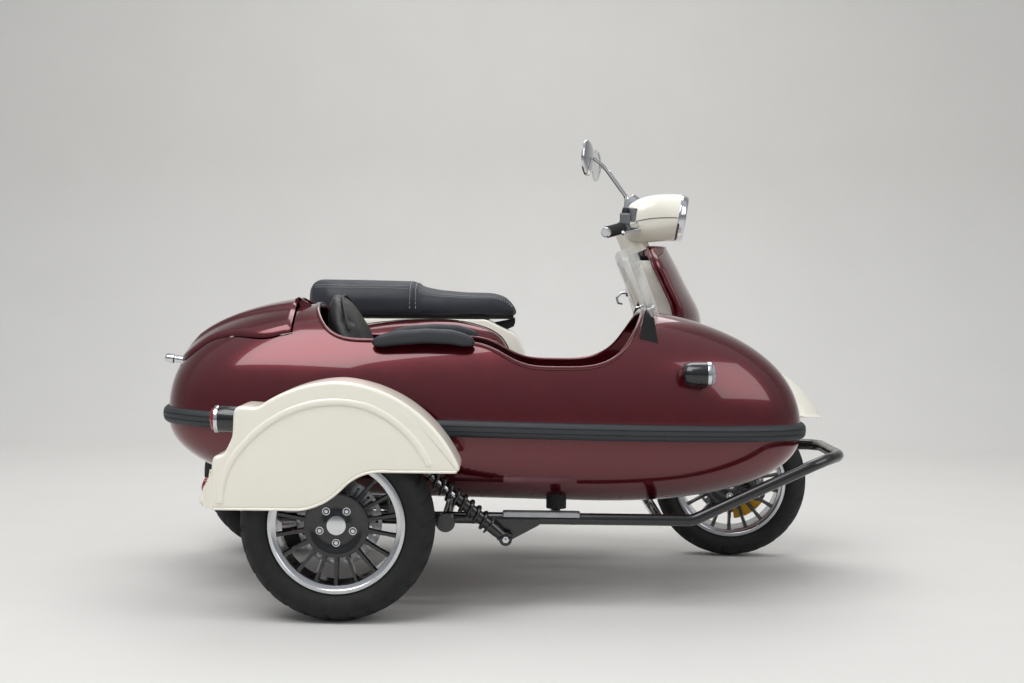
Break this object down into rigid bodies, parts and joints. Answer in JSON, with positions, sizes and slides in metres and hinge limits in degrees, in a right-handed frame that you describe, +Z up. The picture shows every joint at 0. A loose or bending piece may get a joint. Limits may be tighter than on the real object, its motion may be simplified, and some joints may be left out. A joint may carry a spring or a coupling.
{
  "type": "motor scooter with sidecar",
  "caption": "Step-through scooter with a torpedo sidecar on its right, steered front wheel, turning wheels, hinged saddle, boot lid and centre stand.",
  "frame": {"origin": "on the ground under the middle of the whole outfit's outline", "axes": "+X forward, +Y to the vehicle's left, +Z up"},
  "size_m": [1.947, 1.382, 1.2594],
  "materials": {
    "burgundy_paint": "glossy metallic burgundy paint",
    "cream_paint": "glossy cream paint",
    "black_paint": "gloss black paint",
    "black_plastic": "matt black plastic",
    "grey_rubber": "satin dark grey rubber",
    "black_rubber": "matt black rubber",
    "tyre_rubber": "black tyre rubber",
    "wheel_alloy": "black cast alloy with a turned bright lip",
    "bright_steel": "bare steel",
    "cast_alloy": "bare cast alloy",
    "chrome": "chrome plate",
    "seat_vinyl": "charcoal seat cover with pale stitching",
    "black_leather": "black leather",
    "clear_acrylic": "clear acrylic",
    "lamp_glass": "clear lamp glass",
    "red_lens": "red lamp lens",
    "dial_face": "black dial under glass"
  },
  "bodies": {
    "chassis": {"scooter_frame": "black_paint", "floorboard": "black_plastic", "leg_shield": "burgundy_paint", "inner_panel": "cream_paint", "front_mudguard": "cream_paint", "rear_body": "cream_paint", "side_panels": "burgundy_paint", "under_seat_bucket": "black_plastic", "engine": "cast_alloy", "exhaust": "black_paint", "dampers": "black_paint", "rear_mudguard": "black_plastic", "tail_lamp": "red_lens", "tub_upper": "burgundy_paint", "tub_lower": "burgundy_paint", "rubber_trim": "grey_rubber", "sidecar_seat_back": "black_leather", "sidecar_seat_cushion": "black_leather", "windscreen": "clear_acrylic", "windscreen_brackets": "black_paint", "sidecar_lamps": "chrome", "sidecar_mudguard": "cream_paint", "sidecar_frame": "black_paint", "sidecar_swingarm": "black_paint", "step_plate": "bright_steel", "tub_mounts": "black_rubber", "link_struts": "black_paint"},
    "steering": {"fork": "black_paint", "headset": "cream_paint", "headlamp_rim": "chrome", "headlamp_lens": "lamp_glass", "instrument": "dial_face", "handlebar": "chrome", "grips": "black_rubber", "hand_controls": "chrome", "mirrors": "chrome"},
    "front_wheel": {"front_rim": "wheel_alloy", "front_tyre": "tyre_rubber", "front_brake_disc": "bright_steel"},
    "rear_wheel": {"rear_rim": "wheel_alloy", "rear_tyre": "tyre_rubber"},
    "sidecar_wheel": {"sidecar_rim": "wheel_alloy", "sidecar_tyre": "tyre_rubber", "sidecar_brake_disc": "bright_steel"},
    "seat": {"seat_pan": "black_plastic", "seat_cushion": "seat_vinyl"},
    "boot_lid": {"boot_lid": "burgundy_paint"},
    "centre_stand": {"centre_stand": "black_paint"}
  },
  "joints": [
    {"name": "steering", "type": "hinge", "parent": "chassis", "child": "steering", "pos_m": [0.52523, 0.337, 0.7], "axis": [-0.3987, 0, 0.9171], "range_deg": [-34, 46]},
    {"name": "front_wheel_spin", "type": "hinge", "parent": "steering", "child": "front_wheel", "pos_m": [0.72204, 0.33775, 0.22942], "axis": [0.0959, 0.9945, 0.0417], "continuous": true},
    {"name": "rear_wheel_spin", "type": "hinge", "parent": "chassis", "child": "rear_wheel", "pos_m": [-0.65, 0.337, 0.2364], "axis": [0, 1, 0], "continuous": true},
    {"name": "sidecar_wheel_spin", "type": "hinge", "parent": "chassis", "child": "sidecar_wheel", "pos_m": [-0.367, -0.62, 0.2364], "axis": [0, 1, 0], "continuous": true},
    {"name": "saddle_hinge", "type": "hinge", "parent": "chassis", "child": "seat", "pos_m": [0.05, 0.337, 0.706], "axis": [0, 1, 0], "range_deg": [0, 62]},
    {"name": "boot_lid_hinge", "type": "hinge", "parent": "chassis", "child": "boot_lid", "pos_m": [-0.519, -0.198, 0.774], "axis": [0, 1, 0], "range_deg": [0, 60]},
    {"name": "centre_stand_pivot", "type": "hinge", "parent": "chassis", "child": "centre_stand", "pos_m": [-0.32, 0.337, 0.15], "axis": [0, 1, 0], "range_deg": [-88, 0], "stiffness_Nm_per_rad": 8, "springref_deg": 28.65}
  ]
}
